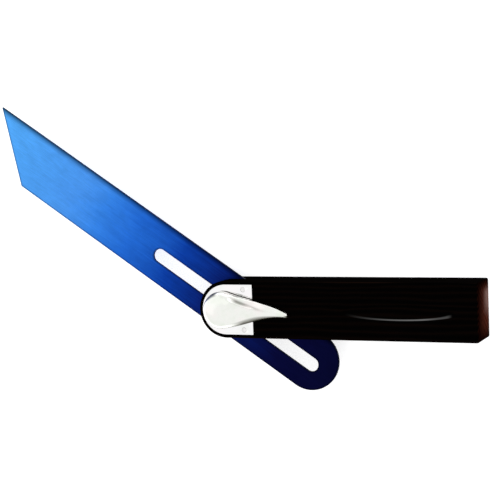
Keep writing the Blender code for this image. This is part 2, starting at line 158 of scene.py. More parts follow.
FLANK_UNSHADED = (0.71, 0.25)  # share of its half width left without painted shade, near the head and near the tip
FLANK_NARROWS = (5 * MM, 20 * MM)  # from where to where the one share becomes the other
GAP_PAINTED_SHADE = (1 * MM, 7.5 * MM)  # from where to where painted shade darkens the upper wall along the arm
ARC_SHARE = (0.74, 0.88)  # shares of the radius between which a painted dark reflection lies on the head's back
ARC_TURNS = (94, 114, 134, 150)  # the arc begins between the first two angles and ends between the last two
# how much painted dark reflection the arc gets
ARC_PAINTED_REFLECTION = 0.8
# painted shade on the underside, which the plate mirrors
UNDERSIDE_PAINTED_SHADE = 0.2
NUT_POCKET_GAP = 0.2 * MM
NUT_POCKET_ROOM = 0.4 * MM

# Fineness: degrees between the points of an arc, then counts of points, then angles and distances
ARC_STEP = 1.5
HEAD_STEP = 3
BORE_STEP = 4
HOLE_STEP = 6
CORNER_STEP = 15
EDGE_STEPS = 4
ROUND_STEPS = 96
FLANK_STEPS = 150
TIP_STEPS = 12
LEVER_LEVELS = 56
LEVER_SHARP_ANGLE = 62
SHARP_ANGLE = 32
SOFTENED_ANGLE = 30
WELD = 0.002 * MM
SLIVER = WELD / 4
SAME_POINT = WELD / 10
INSIDE_ONLY = 1  # how delaunay_2d_cdt is told to leave out what lies outside the edges

# The camera, fitted to the photograph's edges: where it stands as seen from AIM, and how it sees
CAMERA_AZIMUTH = 22.592
CAMERA_ELEVATION = 5.146
CAMERA_ROLL = -2.221
CAMERA_DISTANCE = 0.61759
CAMERA_LENS = 107.135
AIM = Vector((NOSE_X + 8.117 * MM, 23.811 * MM, STOCK_HIGH.z / 2))


# Shapes


def arc(centre, radius, start, end, step=ARC_STEP):
    """Points on a circle, ends included: centre plus radius times the cosine and sine of even turns."""
    turns = np.radians(np.linspace(start, end, max(2, round(abs(end - start) / step)) + 1))
    return np.stack([centre[0] + radius * np.cos(turns), centre[1] + radius * np.sin(turns)], axis=1)


def grid_faces(rows, columns):
    """Quads between neighbours on a grid numbered row by row, whose last column joins its first."""
    row, column = np.meshgrid(np.arange(rows - 1), np.arange(columns), indexing="ij")
    after = (column + 1) % columns
    start, next_start = row * columns, (row + 1) * columns
    corners = [start + column, start + after, next_start + after, next_start + column]
    return np.stack(corners, axis=-1).reshape(-1, 4)


def new_object(name, parts, flat=False, marks=None):
    """One closed mesh from (points, faces) parts, welded where they meet and with its faces turned out.

    Marks are a named value for each point, which the finish can read.
    """
    points = np.concatenate([part[0] for part in parts])
    starts = np.cumsum([0] + [len(part[0]) for part in parts[:-1]])
    faces = [face for start, part in zip(starts, parts) for face in (part[1] + start).tolist()]
    mesh = bpy.data.meshes.new(name)
    mesh.from_pydata(points.tolist(), [], faces)
    if marks:
        label, values = marks
        values = np.concatenate([values, np.zeros(len(points) - len(values))])
        mesh.attributes.new(label, "FLOAT", "POINT").data.foreach_set("value", values.astype(np.float32))
    shape = bmesh.new()
    shape.from_mesh(mesh)
    bmesh.ops.remove_doubles(shape, verts=shape.verts, dist=WELD)
    bmesh.ops.dissolve_degenerate(shape, edges=shape.edges, dist=SLIVER)
    bmesh.ops.recalc_face_normals(shape, faces=shape.faces)
    shape.to_mesh(mesh)
    shape.free()
    if not flat:
        mesh.shade_smooth()
        mesh.set_sharp_from_angle(angle=math.radians(SHARP_ANGLE))
    obj = bpy.data.objects.new(name, mesh)
    bpy.context.scene.collection.objects.link(obj)
    return obj


def inset(loop, distance):
    """A closed outline moved to the left of its way round, each point along the mitre of its two edges."""
    edge = np.roll(loop, -1, axis=0) - loop
    side = np.stack([-edge[:, 1], edge[:, 0]], axis=1)
    side /= np.linalg.norm(side, axis=1, keepdims=True)
    mitre = side + np.roll(side, 1, axis=0)
    return loop + distance * 2 * mitre / (mitre**2).sum(axis=1, keepdims=True)


def edge_profile(radius, low, high):
    """(inset, height) pairs up a side wall whose two edges are quarter circles of that radius."""
    turn = np.radians(np.linspace(0, 90, EDGE_STEPS + 1))
    bottom = np.stack([radius - radius * np.sin(turn), low + radius - radius * np.cos(turn)], axis=1)
    top = np.stack([radius - radius * np.cos(turn), high - radius + radius * np.sin(turn)], axis=1)
    return np.concatenate([bottom, top])


def within(points, loops):
    """True for a point from which a line along X crosses the loops an odd number of times."""
    start = np.concatenate(loops)
    end = np.concatenate([np.roll(loop, -1, axis=0) for loop in loops])
    x, y = points[:, :1], points[:, 1:]
    spans = (start[:, 1] > y) != (end[:, 1] > y)
    rise = np.where(end[:, 1] == start[:, 1], 1, end[:, 1] - start[:, 1])
    crossing = start[:, 0] + (y - start[:, 1]) / rise * (end[:, 0] - start[:, 0])
    return (spans & (crossing > x)).sum(axis=1) % 2 == 1


def cap(loops, height):
    """A flat face at a height: those triangles on the loops' points whose middles lie within the loops."""
    points = np.concatenate(loops)
    starts = np.cumsum([0] + [len(loop) for loop in loops[:-1]])
    edges = [
        (int(start + i), int(start + (i + 1) % len(loop)))
        for start, loop in zip(starts, loops)
        for i in range(len(loop))
    ]
    corners = [Vector(point) for point in points.tolist()]
    found, _, faces, *_ = delaunay_2d_cdt(corners, edges, [], INSIDE_ONLY, SAME_POINT)
    flat = np.array([tuple(point) for point in found])
    faces = np.array(faces)
    faces = faces[within(flat[faces].mean(axis=1), loops)]
    return np.column_stack([flat, np.full(len(flat), height)]), faces


def slab_parts(loops, low, high, radius):
    """A plate with rounded edges: the profile (inset, height) carried along each loop, and two flats."""
    profile = edge_profile(radius, low, high)
    parts = []
    for loop in loops:
        rows = [np.column_stack([inset(loop, d), np.full(len(loop), z)]) for d, z in profile]
        parts.append((np.concatenate(rows), grid_faces(len(rows), len(loop))))
    inner = [inset(loop, radius) for loop in loops]
    return parts + [cap(inner, low), cap(inner, high)]


def lathe_parts(profile, centre, steps=ROUND_STEPS):
    """A profile of (radius, height) points turned about Z: x = r cos a, y = r sin a, z = height."""
    turn = np.radians(np.arange(steps) * 360 / steps)
    radius, height = np.array(profile, float).T
    points = np.stack(
        [
            centre[0] + np.outer(radius, np.cos(turn)),
            centre[1] + np.outer(radius, np.sin(turn)),
            np.repeat(height[:, None], steps, axis=1),
        ],
        axis=-1,
    )
    return [(points.reshape(-1, 3), grid_faces(len(profile), steps))]


def ring_parts(inner, outer, low, high, radius, centre):
    """A washer: the slab between two circles."""
    return slab_parts([arc(centre, outer, 0, 360)[:-1], arc(centre, inner, 360, 0)[:-1]], low, high, radius)


def box_parts(low, high):
    """The six faces between two opposite corners."""
    corners = np.array(list(itertools.product(*zip(low, high))))
    faces = np.array([[0, 1, 3, 2], [4, 6, 7, 5], [0, 4, 5, 1], [2, 3, 7, 6], [0, 2, 6, 4], [1, 5, 7, 3]])
    return [(corners, faces)]


def rounded(points, radius):
    """The arcs that take the place of an open path's inner corners, tangent to both of a corner's edges."""
    rounds = []
    for before, corner, after in zip(points, points[1:], points[2:]):
        back = (Vector(before) - Vector(corner)).normalized()
        ahead = (Vector(after) - Vector(corner)).normalized()
        half = back.angle(ahead) / 2
        centre = Vector(corner) + (back + ahead).normalized() * radius / math.sin(half)
        start = Vector(corner) + back * radius / math.tan(half) - centre
        turn = math.pi - 2 * half
        if back.x * ahead.y - back.y * ahead.x > 0:
            turn = -turn
        count = max(2, round(math.degrees(abs(turn)) / CORNER_STEP))
        angles = math.atan2(start.y, start.x) + np.linspace(0, turn, count + 1)
        x, y = centre.x + radius * np.cos(angles), centre.y + radius * np.sin(angles)
        rounds.append(np.stack([x, y], axis=1))
    return np.concatenate(rounds)


def nose_outline(radius, end_x, corner):
    """A half circle about the nose, two straight sides and a square end with small round corners."""
    end = rounded([(NOSE_X, -radius), (end_x, -radius), (end_x, radius), (NOSE_X, radius)], corner)
    return np.concatenate([arc((NOSE_X, 0), radius, 90, 270), end])


def cut(obj, parts, operation="DIFFERENCE"):
    """Cuts a closed shape out of a piece, or joins it on, and keeps the result as the piece's own mesh."""
    other = new_object(obj.name + "_tool", parts, flat=True)
    modifier = obj.modifiers.new("cut", "BOOLEAN")
    modifier.operation = operation
    modifier.solver = "EXACT"
    modifier.object = other
    apply_modifiers(obj)
    bpy.data.objects.remove(other)


def apply_modifiers(obj):
    """Makes the mesh that a piece's modifiers give its own."""
    graph = bpy.context.evaluated_depsgraph_get()
    mesh = bpy.data.meshes.new_from_object(obj.evaluated_get(graph))
    obj.modifiers.clear()
    obj.data = mesh


def soften(obj, width, segments=2):
    """Rounds every edge that turns by more than the softened angle."""
    bevel = obj.modifiers.new("soften", "BEVEL")
    bevel.width = width
    bevel.segments = segments
    bevel.limit_method = "ANGLE"
    bevel.angle_limit = math.radians(SOFTENED_ANGLE)
    bevel.use_clamp_overlap = True
    apply_modifiers(obj)


def shade(obj, angle=SHARP_ANGLE):
    """Smooth shading up to that angle, in which the larger faces at an edge keep their own direction."""
    obj.data.shade_smooth()
    obj.data.set_sharp_from_angle(angle=math.radians(angle))
    weighted = obj.modifiers.new("weighted", "WEIGHTED_NORMAL")
    weighted.mode = "FACE_AREA"
    weighted.keep_sharp = True
    apply_modifiers(obj)
    return obj


# Pieces


def pin_circle(name, grow=0.0):
    """A pin's centre and radius, from its node's box."""
    low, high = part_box(name)
    return ((low.x + high.x) / 2, (low.y + high.y) / 2), (high.x - low.x) / 2 + grow


def pins_of(side):
    """The names of the front or the rear plate's pins."""
    return [name for name in PINS if name.startswith(side)]


def ellipsoid_parts(centre, half):
    """x, y and z are the half axes times cos v cos u, cos v sin u and sin v."""
    v = np.radians(np.linspace(-90, 90, ROUND_STEPS // 2 + 1))
    u = np.radians(np.arange(2 * ROUND_STEPS) * 180 / ROUND_STEPS)
    points = np.stack(
        [
            centre[0] + half[0] * np.outer(np.cos(v), np.cos(u)),
            centre[1] + half[1] * np.outer(np.cos(v), np.sin(u)),
            centre[2] + half[2] * np.repeat(np.sin(v)[:, None], len(u), axis=1),
        ],
        axis=-1,
    )
    return [(points.reshape(-1, 3), grid_faces(len(v), len(u)))]


def make_stock():
    """The rounded bar less its kerf, pockets and holes, and less the ellipsoid that cuts its groove."""
    top = STOCK_HIGH.z
    outline = nose_outline(NOSE_RADIUS, STOCK_HIGH.x, BUTT_CORNER)
    stock = new_object("stock_body", slab_parts([outline], 0, top, ARRIS))
    side = NOSE_RADIUS + OVERRUN
    kerf_low = (NOSE_X - side, -side, PIVOT.z - KERF_HEIGHT / 2)
    kerf_high = (KERF_END, side, PIVOT.z + KERF_HEIGHT / 2)
    cut(stock, box_parts(kerf_low, kerf_high))
    pocket = nose_outline(PLATE_RADIUS + INLAY_GAP, FRONT_HIGH.x + INLAY_GAP, PLATE_CORNER)
    cut(stock, slab_parts([pocket], FRONT_LOW.z - INLAY_GAP, top + OVERRUN, INLAY_GAP))
    cut(stock, slab_parts([pocket], -OVERRUN, REAR_HIGH.z + INLAY_GAP, INLAY_GAP))
    for name in PINS:
        low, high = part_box(name)
        centre, radius = pin_circle(name, INLAY_GAP)
        top_end, low_end = high.z + INLAY_GAP, low.z - INLAY_GAP
        profile = [(0, top_end), (radius, top_end), (radius, low_end), (0, low_end)]
        cut(stock, lathe_parts(profile, centre))
    shank = SHANK_RADIUS + SHANK_GAP
    cut(stock, lathe_parts([(0, top), (shank, top), (shank, 0), (0, 0)], PIVOT))
    neck = NECK_SIDE / 2 + INLAY_GAP
    cut(stock, box_parts((PIVOT.x - neck, -neck, 0), (PIVOT.x + neck, neck, NECK_TOP + INLAY_GAP)))
    half_height = GROOVE_DEPTH / GROOVE_DEPTH_SHARE
    lift = half_height - GROOVE_DEPTH
    spread = math.sqrt(1 - (lift / half_height) ** 2)
    half = (GROOVE_LENGTH / 2 / spread, GROOVE_WIDTH / 2 / spread, half_height)
    cut(stock, ellipsoid_parts((GROOVE_MIDDLE, 0, top + lift), half))
    soften(stock, WORN_EDGE)
    return shade(stock)


def make_plate(side, low, high):
    """The D-shaped plate with its screw hole and pin holes; the rear one is countersunk."""
    outline = nose_outline(PLATE_RADIUS, high.x, PLATE_CORNER)
    holes = [arc(*pin_circle(name, INLAY_GAP), 360, 0, HOLE_STEP)[:-1] for name in pins_of(side)]
    if side == "front":
        holes.append(arc(PIVOT, SHANK_RADIUS + SHANK_GAP, 360, 0, BORE_STEP)[:-1])
    plate = new_object(f"{side}_plate_face", slab_parts([outline, *holes], low.z, high.z, INLAY_GAP))
    if side == "rear":
        head = HEAD_RADIUS + INLAY_GAP
        past = high.z + OVERRUN
        narrow = head - (past - SCREW_LOW.z)
        profile = [(0, past), (narrow, past), (head, SCREW_LOW.z), (head, -OVERRUN), (0, -OVERRUN)]
        cut(plate, lathe_parts(profile, PIVOT))
    return shade(plate)


def make_pin(name, side):
    """A pin: flat at the plate's face but for a softened rim, pointed at its other end."""
    low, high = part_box(name)
    centre, radius = pin_circle(name)
    length = high.z - low.z
    profile = [
        (0, 0),
        (radius - PIN_EDGE, 0),
        (radius, PIN_EDGE),
        (radius, length - PIN_POINT),
        (PIN_POINT_SHARE * radius, length),
        (0, length),
    ]
    if side == "front":
        turned = [(r, high.z - depth) for r, depth in profile]
    else:
        turned = [(r, low.z + depth) for r, depth in reversed(profile)]
    return new_object(name + "_end", lathe_parts(turned, centre, ROUND_STEPS // 2))


def make_screw():
    """Countersunk head with a driver slot, square neck and round shank."""
    low, high = SCREW_LOW.z, SCREW_HIGH.z
    rim = HEAD_EDGE
    profile = [
        (0, high),
        (SHANK_RADIUS - SHANK_CHAMFER, high),
        (SHANK_RADIUS, high - SHANK_CHAMFER),
        (SHANK_RADIUS, HEAD_UNDERSIDE),
        (HEAD_RADIUS - rim / 3, low + rim / 3),
        (HEAD_RADIUS - rim, low),
        (0, low),
    ]
    screw = new_object("screw_turned", lathe_parts(profile, PIVOT))
    neck = NECK_SIDE / 2
    middle = low + (HEAD_UNDERSIDE - low) / 2
    cut(screw, box_parts((PIVOT.x - neck, -neck, middle), (PIVOT.x + neck, neck, NECK_TOP)), "UNION")
    half = HEAD_SLOT_WIDTH / 2
    side = HEAD_RADIUS + OVERRUN
    cut(screw, box_parts((PIVOT.x - half, -side, -OVERRUN), (PIVOT.x + half, side, low + HEAD_SLOT_DEPTH)))
    return shade(screw)


def blade_extent(direction):
    """How far the blade's node reaches from the pivot, both ways along a direction."""
    reach = [(vertex.co - PIVOT).dot(direction) for vertex in frame["nodes"]["blade"].data.vertices]
    return min(reach), max(reach)


def make_blade():
    """The strip with round heel, slanting tip and long slot, drawn along its own axis and then turned."""
    heel_end, tip_end = blade_extent(BLADE_WAY)
    low_side, high_side = blade_extent(BLADE_ACROSS)
    half = (high_side - low_side) / 2
    middle = (high_side + low_side) / 2
    heel_x = heel_end + half + HEEL_SHY
    skewed = tip_end - TIP_SKEW
    corners = [(heel_x, low_side), (tip_end, low_side), (skewed, high_side), (heel_x, high_side)]
    outline = np.concatenate([arc((heel_x, middle), half, 90, 270), rounded(corners, BLADE_CORNER)])
    heel_round = arc((SLOT_HEEL, 0), SLOT_HALF_WIDTH, 270, 90, BORE_STEP)
    tip_round = arc((SLOT_TIP, 0), SLOT_HALF_WIDTH, 90, -90, BORE_STEP)
    slot = np.concatenate([heel_round, tip_round])
    parts = slab_parts([outline, slot], BLADE_LOW.z, BLADE_HIGH.z, BLADE_EDGE)
    return shade(new_object("blade_strip", [(blade_place(points), faces) for points, faces in parts]))


def blade_place(points):
    """Points drawn along the blade and across it, turned about the pivot to where the blade lies."""
    along, across, height = points.T
    x = PIVOT.x + along * BLADE_WAY.x + across * BLADE_ACROSS.x
    y = PIVOT.y + along * BLADE_WAY.y + across * BLADE_ACROSS.y
    return np.column_stack([x, y, height])


def half_width(x, side):
    """One side's width along the lever: the head's circle, then a cubic that leaves it smoothly."""
    turn, flare = math.radians(LEVER_TURN[side]), math.radians(LEVER_FLARE[side])
    start = LEVER_HEAD * math.cos(turn)
    corner = LEVER_TIP_WIDTH * LEVER_CORNER_SHARE
    run = LEVER_REACH - corner - start
    share = np.clip((x - start) / run, 0, 1)
    flank = (
        LEVER_HEAD * math.sin(turn) * (2 * share**3 - 3 * share**2 + 1)
        - run / math.tan(turn) * (share**3 - 2 * share**2 + share)
        + LEVER_TIP_WIDTH / 2 * (3 * share**2 - 2 * share**3)
        - run * math.tan(flare) * (share**3 - share**2)
    )
    past = np.clip((x - start - run) / corner, 0, 1)
    head = np.sqrt(np.clip(LEVER_HEAD**2 - x**2, 0, None))
    return np.where(x <= start, head, flank * np.sqrt(1 - past**2))


def smooth(value, low, high):
    """0 below low, 1 above high, and a smooth step between."""
    share = np.clip((value - low) / (high - low), 0, 1)
    return share * share * (3 - 2 * share)


def lever_outline():
    """Points (along, across) round the lever: its end, its upper side, the head's back, its lower side."""
    corner = LEVER_TIP_WIDTH * LEVER_CORNER_SHARE
    straight = np.linspace(0, LEVER_REACH - corner, FLANK_STEPS)
    tip = LEVER_REACH - corner + corner * np.sin(np.radians(np.linspace(0, 90, TIP_STEPS)[1:-1]))
    stations = np.concatenate([straight, tip])
    upper = np.column_stack([stations[::-1], half_width(stations[::-1], 0)])
    lower = np.column_stack([stations, -half_width(stations, 1)])
    back = arc((0, 0), LEVER_HEAD, 90, 270, HEAD_STEP)[1:-1]
    return np.concatenate([[[LEVER_REACH, 0]], upper, back, lower])


def lever_height(outline, ridge, width, foot):
    """Height of each point above the lever's underside.

    Width is the share w of the way from the ridge out to the outline. The dome is (1 - w ^ a) ^ (1 / b) high
    above an upright wall, which is taller on the arm's upper side. There a low lip follows the wall, then a
    smooth steep step at the foot of the cove, then the same dome. The ridge sinks smoothly towards the tip.
    """
    along, across = outline.T
    full = LEVER_HIGH.z - LEVER_LOW.z
    height = full + (LEVER_TIP_HEIGHT - full) * smooth(ridge, 0, LEVER_REACH * LEVER_SPINE_SHARE)
    dome = (1 - width**DOME_WIDTH_POWER) ** (1 / DOME_HEIGHT_POWER)
    lip = LIP_HEIGHT * smooth(1 - width, 0, LIP_WIDTH)
    steep = smooth(foot - width, *COVE_RISE)
    coved = lip + (COVE_STEEP_HEIGHT - LIP_HEIGHT) * steep + (1 - COVE_STEEP_HEIGHT) * dome * steep
    share = (across > 0) * smooth(ridge, *COVE_NEAR) * (1 - smooth(ridge, *COVE_FAR))
    rise = dome + (coved - dome) * share
    tall = (across > 0) * smooth(along, *UPPER_WALL_BEGINS) * (1 - smooth(along, *UPPER_WALL_ENDS))
    wall = LEVER_WALL + (UPPER_WALL - LEVER_WALL) * tall
    return height * (wall + (1 - wall) * rise)


def lever_painted_shade(outline, ridge, width, foot):
    """How much painted shade each point gets, from the underside's edge up to the ridge.

    Painted shade lies on the lower flank, the foot of the cove, the upper wall and the underside, and a
    painted dark reflection on an arc on the back of the head's rim. On the flank it is the sine of a quarter
    turn from where its unshaded share ends to the edge, at the cove a bell curve, and the others begin and
    end in smooth steps.
    """
    along, across = outline.T
    near, far = FLANK_UNSHADED
    # share of the flank's half width left without painted shade
    polish = near + (far - near) * smooth(along, *FLANK_NARROWS)
    out = np.clip((width - polish) / (1 - polish), 0, 1)
    lower = (across < 0) * smooth(along, *FLANK_PAINTED_SHADE) * np.sin(out * math.pi / 2)
    from_foot = (foot - width) / COVE_BAND
    cove = np.exp(-(from_foot**2)) * (across > 0) * smooth(ridge, *COVE_SHADE_BEGINS)
    cove = cove * (1 - COVE_SHADE_LOST * smooth(ridge, *COVE_SHADE_FADES))
    cove = cove * (1 - smooth(ridge, *COVE_SHADE_ENDS))
    angle = np.degrees(np.arctan2(across, along))
    begin, begun, ending, end = ARC_TURNS
    rim = smooth(width, *ARC_SHARE) * smooth(angle, begin, begun) * (1 - smooth(angle, ending, end))
    painted_shade = np.clip(lower + COVE_PAINTED_SHADE * cove + ARC_PAINTED_REFLECTION * rim, 0, 1)
    # painted shade on the upper wall along the gap, and on the underside
    bare = smooth(along, *GAP_PAINTED_SHADE)
    painted_shade[0] = np.maximum(painted_shade[0], bare * (across > 0) * (1 - smooth(along, *UPPER_WALL_ENDS)))
    return np.concatenate([np.maximum(bare, UNDERSIDE_PAINTED_SHADE)[None], painted_shade])


def make_lever():
    """The casting: rows of points from its outline up to its ridge, a flat underside, the nut's pocket."""
    outline = lever_outline()
    along, across = outline.T
    ridge = np.clip(along, 0, LEVER_REACH * LEVER_SPINE_SHARE)
    foot = COVE_SHARE - COVE_TAPER * (ridge - COVE_NEAR[1])
    width = 1 - np.linspace(0, 1, LEVER_LEVELS)[:, None] ** 2
    x = np.concatenate([along[None], ridge + (along - ridge) * width])
    y = np.concatenate([across[None], across * width])
    z = np.concatenate([np.zeros((1, len(outline))), lever_height(outline, ridge, width, foot)])
    # painted shade and painted dark reflection for each point, carried as a mark to the finish
    painted_shade = lever_painted_shade(outline, ridge, width, foot)
    turn = math.radians(LEVER_ANGLE)
    turned_x = PIVOT.x + x * math.cos(turn) - y * math.sin(turn)
    turned_y = x * math.sin(turn) + y * math.cos(turn)
    points = np.stack([turned_x, turned_y, LEVER_LOW.z + z], axis=-1)
    pocket = hexagon(NUT_CORNER + NUT_POCKET_GAP)
    pocket_top = SCREW_HIGH.z + NUT_POCKET_ROOM
    levels = (LEVER_LOW.z, pocket_top)
    walls = np.concatenate([np.column_stack([pocket, np.full(len(pocket), level)]) for level in levels])
    parts = [
        (points.reshape(-1, 3), grid_faces(*x.shape)),
        cap([points[0][:, :2], pocket[::-1]], LEVER_LOW.z),
        (walls, grid_faces(len(levels), len(pocket))),
        cap([pocket], pocket_top),
    ]
    return shade(new_object("lever_casting", parts, marks=("tarnish", painted_shade.ravel())), LEVER_SHARP_ANGLE)


def hexagon(corner):
    """Six corners about the pivot, turned with the lever: corner times the cosine and sine of each sixth."""
    turns = np.radians(np.arange(6) * 60 + LEVER_ANGLE)
    return np.stack([PIVOT.x + corner * np.cos(turns), PIVOT.y + corner * np.sin(turns)], axis=1)


def make_nut():
    """A hexagonal slab with a round bore."""
    bore = arc(PIVOT, SHANK_RADIUS + BORE_GAP, 360, 0, HOLE_STEP)[:-1]
    parts = slab_parts([hexagon(NUT_CORNER), bore], NUT_LOW.z, NUT_HIGH.z, NUT_EDGE)
    return shade(new_object("nut_body", parts))


def make_washer(node):
    """A washer on the screw, as wide and thick as its node."""
    low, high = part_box(node)
    outer = (high.y - low.y) / 2
    inner = SHANK_RADIUS + SHANK_GAP
    return new_object(node + "_ring", ring_parts(inner, outer, low.z, high.z, WASHER_EDGE, PIVOT))


# Finishes


class Wire:
    """A value on its way between nodes. Arithmetic on it adds Math nodes."""

    def __init__(self, nodes, socket):
        self.nodes = nodes
        self.socket = socket

    def math(self, operation, *values):
        """A Math node on numbers or other wires."""
        return self.nodes.node("ShaderNodeMath", {"operation": operation}, values)

    def __add__(self, other):
        return self.math("ADD", self, other)

    def __radd__(self, other):
        return self.math("ADD", other, self)

    def __sub__(self, other):
        return self.math("SUBTRACT", self, other)

    def __rsub__(self, other):
        return self.math("SUBTRACT", other, self)

    def __mul__(self, other):
        return self.math("MULTIPLY", self, other)

    def __rmul__(self, other):
        return self.math("MULTIPLY", other, self)

    def __truediv__(self, other):
        return self.math("DIVIDE", self, other)

    def __pow__(self, other):
        return self.math("POWER", self, other)


# Sockets of a colour's Mix node
MIX_SHARE, MIX_FIRST, MIX_SECOND, MIX_RESULT = 0, 6, 7, 2


class Nodes:
    """A tree of shader nodes. Each method adds nodes and gives what they put out."""

    def __init__(self, tree):
        self.tree = tree

    def node(self, kind, settings=(), values=(), output=0):
        """One node of any type: its settings first, then the values or links of its sockets."""
        made = self.tree.nodes.new(kind)
        for name, value in dict(settings).items():
            if name == "stops":
                self.set_stops(made.color_ramp, value)
            else:
                setattr(made, name, value)
        pairs = values.items() if isinstance(values, dict) else enumerate(values)
        for key, value in pairs:
            self.feed(made.inputs[key], value)
        return Wire(self, made.outputs[output])

    def set_stops(self, ramp, stops):
        """Each stop is its place from 0 to 1 and its colour."""
        while len(ramp.elements) < len(stops):
            ramp.elements.new(0.5)
        for element, (place, colour) in zip(ramp.elements, stops):
            element.position = place
            element.color = (*colour, 1)

    def feed(self, socket, value):
        """Links a wire to the socket, or gives it a plain value."""
        if isinstance(value, Wire):
            self.tree.links.new(value.socket, socket)
        else:
            socket.default_value = value

    def place(self, origin=(0, 0, 0), turn=0.0, scale=(1, 1, 1)):
        """Object coordinates, moved so that origin is zero, turned about Z, then stretched."""
        at = self.node("ShaderNodeTexCoord", output="Object")
        moved = self.node("ShaderNodeVectorMath", {"operation": "SUBTRACT"}, [at, tuple(origin)])
        values = {"Vector": moved, "Angle": turn}
        turned = self.node("ShaderNodeVectorRotate", {"rotation_type": "Z_AXIS"}, values)
        return self.node("ShaderNodeVectorMath", {"operation": "MULTIPLY"}, [turned, tuple(scale)])

    def noise(self, place, detail=3.0, roughness=0.5):
        """Smooth noise about one half, one wave for each unit of the place."""
        values = {"Vector": place, "Scale": 1.0, "Detail": detail, "Roughness": roughness}
        return self.node("ShaderNodeTexNoise", {}, values)

    def parts(self, place):
        """The x, y and z of a vector."""
        split = self.node("ShaderNodeSeparateXYZ", {}, [place])
        outputs = split.socket.node.outputs
        return [Wire(self, outputs[i]) for i in range(3)]

    def step(self, value, low, high):
        """0 at low, 1 at high and a smooth step between; low may be the greater."""
        values = {"Value": value, "From Min": low, "From Max": high}
        return self.node("ShaderNodeMapRange", {"interpolation_type": "SMOOTHSTEP"}, values)

    def ramp(self, value, stops):
        """The colour that the stops give for a value."""
        return self.node("ShaderNodeValToRGB", {"stops": stops}, [value])

    def mix(self, share, first, second):
        """From the first colour to the second as share goes from 0 to 1."""
        values = {MIX_FIRST: self.colour(first), MIX_SECOND: self.colour(second), MIX_SHARE: share}
        return self.node("ShaderNodeMix", {"data_type": "RGBA"}, values, output=MIX_RESULT)

    def gain(self, colour, factor):
        """A colour times a number."""
        return self.node("ShaderNodeVectorMath", {"operation": "SCALE"}, {0: colour, "Scale": factor})

    def colour(self, value):
        """A wire as it is, or red, green and blue with full alpha."""
        return value if isinstance(value, Wire) else (*value, 1)

    def bump(self, height, distance, strength):
        """A normal that follows a height from 0 to 1."""
        values = {"Height": height, "Distance": distance, "Strength": strength}
        return self.node("ShaderNodeBump", {}, values)


class Finish(Nodes):
    """A material on one Principled shader."""

    def __init__(self, name, **fixed):
        self.material = bpy.data.materials.new(name)
        self.material.use_nodes = True
        super().__init__(self.material.node_tree)
        self.shader = self.tree.nodes["Principled BSDF"]
        self.put(**fixed)

    def put(self, **values):
        """Feeds the shader's own sockets."""
        for name, value in values.items():
            self.feed(self.shader.inputs[name.replace("_", " ")], value)


# Wood
RING_SPACING = 1.7 * MM
RING_SWAY = 9  # radians
RING_AXIS = (34 * MM, 21 * MM)  # from the middle of the rear face to the tree's heart, across and below
SWAY_SCALE = (25, 160, 160)
FIBRE_SCALE = (60, 2600, 2600)
PORE_SCALE = (330, 7000, 7000)
PORE_LEVELS = (0.62, 0.72)  # the noise above which there is a pore
SMUDGE_SCALE = (70, 70, 70)
WOOD_DARK = (0.0004, 0.0003, 0.0003)
WOOD_MID = (0.001, 0.0006, 0.0005)
WOOD_LIGHT = (0.0034, 0.0014, 0.0009)
WOOD_WORN = (0.010, 0.0045, 0.003)
WORN_FROM, WORN_TO = 0.7 * ARRIS, 0.3 * ARRIS  # inwards from the corner of an edge
WOOD_GRAIN = (0.02 * MM, 0.5)  # depth and strength of its bump
END_DARK, END_MID, END_LIGHT = (0.016, 0.004, 0.0026), (0.065, 0.0135, 0.008), (0.16, 0.04, 0.022)
END_FROM, END_TO = 0.5 * MM, 0.15 * MM  # inwards from the butt
PALE_PATCH = (0.36, 0.23, 0.20)
PALE_SHARE = 0.55
PALE_SWAY = 6 * MM
PALE_FROM_LOWER = (-4 * MM, 3 * MM)  # from where the paler patch begins to where it is full
PALE_FROM_UPPER = (10 * MM, 6 * MM)
PALE_FROM_FRONT = (11 * MM, 3 * MM)
DARKENED_FROM_FRONT = (20 * MM, 3 * MM)  # from where the end is darkened nearly to black to where that has run out
DARKENED_FROM_UPPER = (12 * MM, 6.5 * MM)
DARKENED_FROM_LOWER = (-13 * MM, -4 * MM)
DARKENED_LEAVES = 0.04  # share of the end grain's colour left where it is darkened
# Painted highlight on the wood: extra gloss along the groove's lower rim
SHEEN_FROM = (-8 * MM, 24 * MM)  # along the groove: from where the painted highlight on its rim begins, and where it ends
SHEEN_TO = (37 * MM, 34.5 * MM)
SHEEN_MOST = (32 * MM, 24 * MM)
SHEEN_INNER, SHEEN_OUTER = (0.86, 0.97), (1.08, 1.04)  # across it, as shares of the way from its middle
SHEEN_SIDE = (-0.15, -0.4)
SHEEN_GLOSS = 0.8
POLISH = 0.001


def wood_rings(finish, y, z, sway):
    """From 0 to 1 and back in each ring: the sine of the swaying distance from the tree's heart."""
    off_y = y + RING_AXIS[0]
    off_z = z + RING_AXIS[1]
    radius = (off_y * off_y + off_z * off_z) ** 0.5
    turns = radius * (2 * math.pi / RING_SPACING) + sway * RING_SWAY
    return turns.math("SINE", turns) * 0.5 + 0.5


